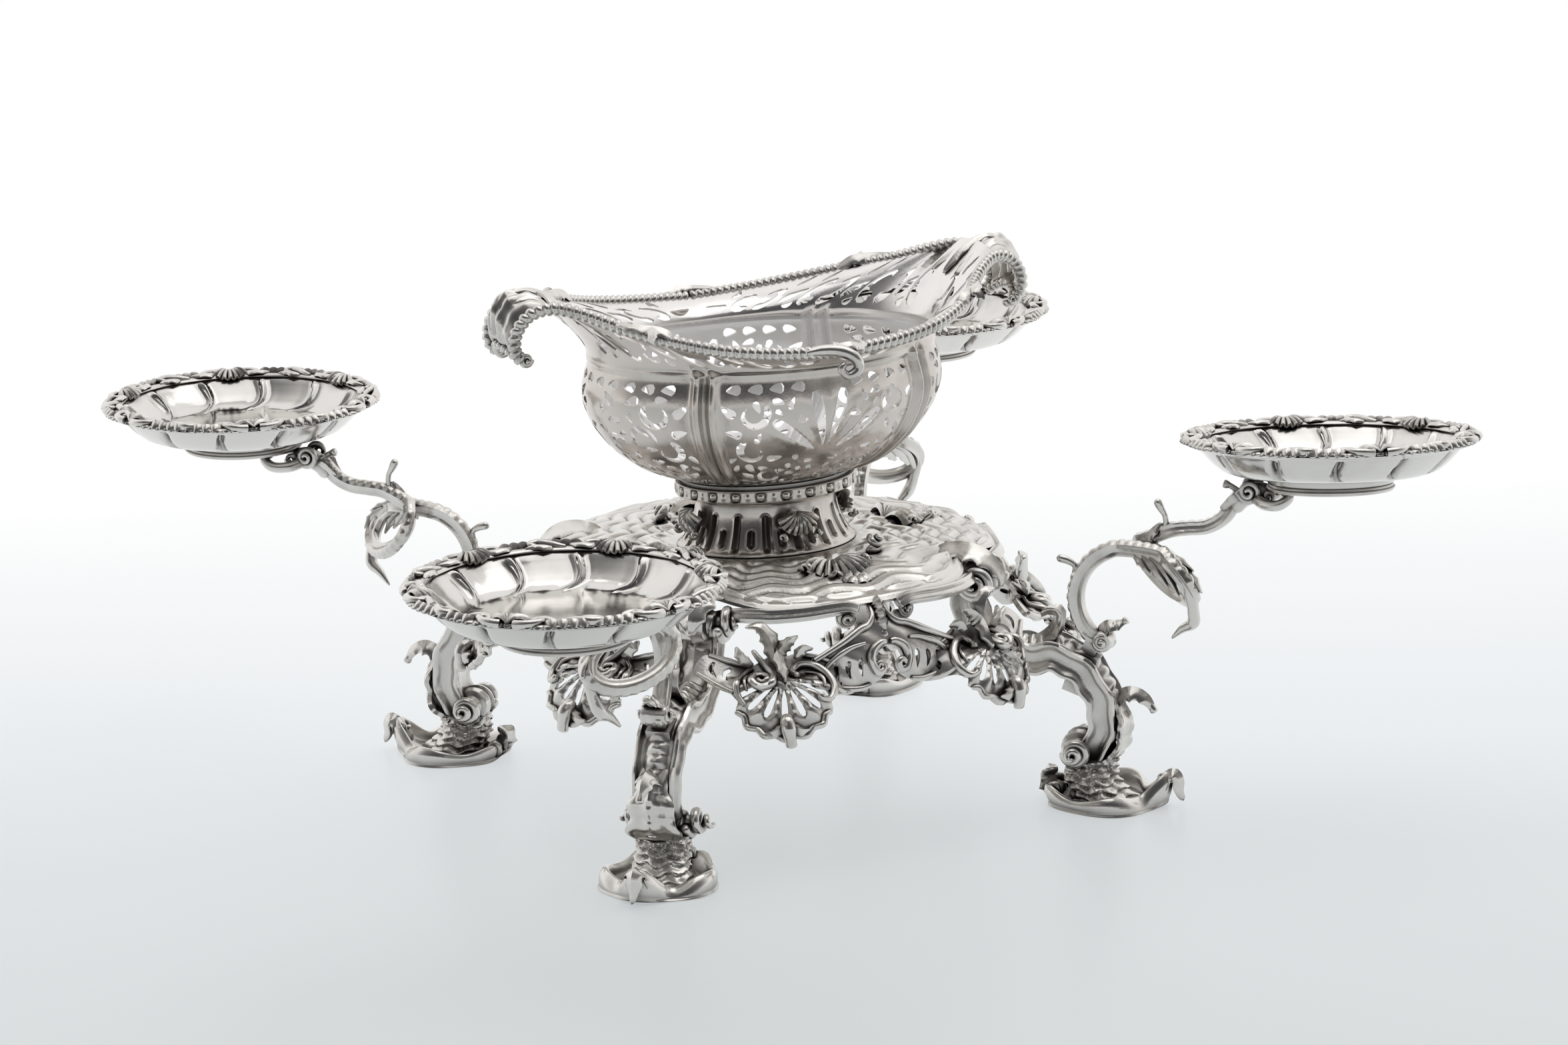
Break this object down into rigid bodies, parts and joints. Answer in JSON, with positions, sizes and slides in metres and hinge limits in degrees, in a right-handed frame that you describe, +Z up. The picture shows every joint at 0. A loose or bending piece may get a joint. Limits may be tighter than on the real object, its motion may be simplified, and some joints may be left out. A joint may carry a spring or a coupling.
{
  "type": "epergne",
  "caption": "Silver table centrepiece: a footed stand with pierced aprons, a lift-off oval pierced basket, and looped scroll branches that unplug and carry round dishes.",
  "frame": {"origin": "on the table, under the middle of the stand", "axes": "+Z up, +X along the basket's long axis, front towards -Y"},
  "size_m": [0.625, 0.625, 0.3038],
  "materials": {
    "silver": "polished, darkened in the recesses"
  },
  "bodies": {
    "stand": {"platform": "silver", "spool": "silver", "gallery": "silver", "rail_front": "silver", "rail_right": "silver", "rail_back": "silver", "rail_left": "silver", "apron_front": "silver", "apron_right": "silver", "apron_back": "silver", "apron_left": "silver", "wave_shell_front": "silver", "wave_shell_right": "silver", "wave_shell_back": "silver", "wave_shell_left": "silver", "spool_shell_front": "silver", "spool_shell_right": "silver", "spool_shell_back": "silver", "spool_shell_left": "silver", "foot_front_left": "silver", "foot_front_right": "silver", "foot_back_right": "silver", "foot_back_left": "silver", "leg_front_left": "silver", "leg_front_right": "silver", "leg_back_right": "silver", "leg_back_left": "silver", "socket_front_left": "silver", "socket_front_right": "silver", "socket_back_right": "silver", "socket_back_left": "silver"},
    "basket": {"basket_collar": "silver", "basket_bowl": "silver", "basket_lips": "silver", "basket_rim": "silver", "basket_knops": "silver", "basket_hooks": "silver"},
    "arm_front_left": {"branch_front_left": "silver", "tenon_front_left": "silver", "dish_ring_front_left": "silver"},
    "plate_front_left": {"dish_front_left": "silver", "dish_border_front_left": "silver"},
    "arm_front_right": {"branch_front_right": "silver", "tenon_front_right": "silver", "dish_ring_front_right": "silver"},
    "plate_front_right": {"dish_front_right": "silver", "dish_border_front_right": "silver"},
    "arm_back_right": {"branch_back_right": "silver", "tenon_back_right": "silver", "dish_ring_back_right": "silver"},
    "plate_back_right": {"dish_back_right": "silver", "dish_border_back_right": "silver"},
    "arm_back_left": {"branch_back_left": "silver", "tenon_back_left": "silver", "dish_ring_back_left": "silver"},
    "plate_back_left": {"dish_back_left": "silver", "dish_border_back_left": "silver"}
  },
  "joints": [
    {"name": "basket_lift", "type": "slide", "parent": "stand", "child": "basket", "axis": [0, 0, 1], "range_m": [0, 0.06]},
    {"name": "arm_front_left_lift", "type": "slide", "parent": "stand", "child": "arm_front_left", "axis": [-0.236, -0.236, 0.9426], "range_m": [0, 0.03]},
    {"name": "plate_front_left_lift", "type": "slide", "parent": "arm_front_left", "child": "plate_front_left", "axis": [0, 0, 1], "range_m": [0, 0.04]},
    {"name": "arm_front_right_lift", "type": "slide", "parent": "stand", "child": "arm_front_right", "axis": [0.236, -0.236, 0.9426], "range_m": [0, 0.03]},
    {"name": "plate_front_right_lift", "type": "slide", "parent": "arm_front_right", "child": "plate_front_right", "axis": [0, 0, 1], "range_m": [0, 0.04]},
    {"name": "arm_back_right_lift", "type": "slide", "parent": "stand", "child": "arm_back_right", "axis": [0.236, 0.236, 0.9426], "range_m": [0, 0.03]},
    {"name": "plate_back_right_lift", "type": "slide", "parent": "arm_back_right", "child": "plate_back_right", "axis": [0, 0, 1], "range_m": [0, 0.04]},
    {"name": "arm_back_left_lift", "type": "slide", "parent": "stand", "child": "arm_back_left", "axis": [-0.236, 0.236, 0.9426], "range_m": [0, 0.03]},
    {"name": "plate_back_left_lift", "type": "slide", "parent": "arm_back_left", "child": "plate_back_left", "axis": [0, 0, 1], "range_m": [0, 0.04]}
  ]
}
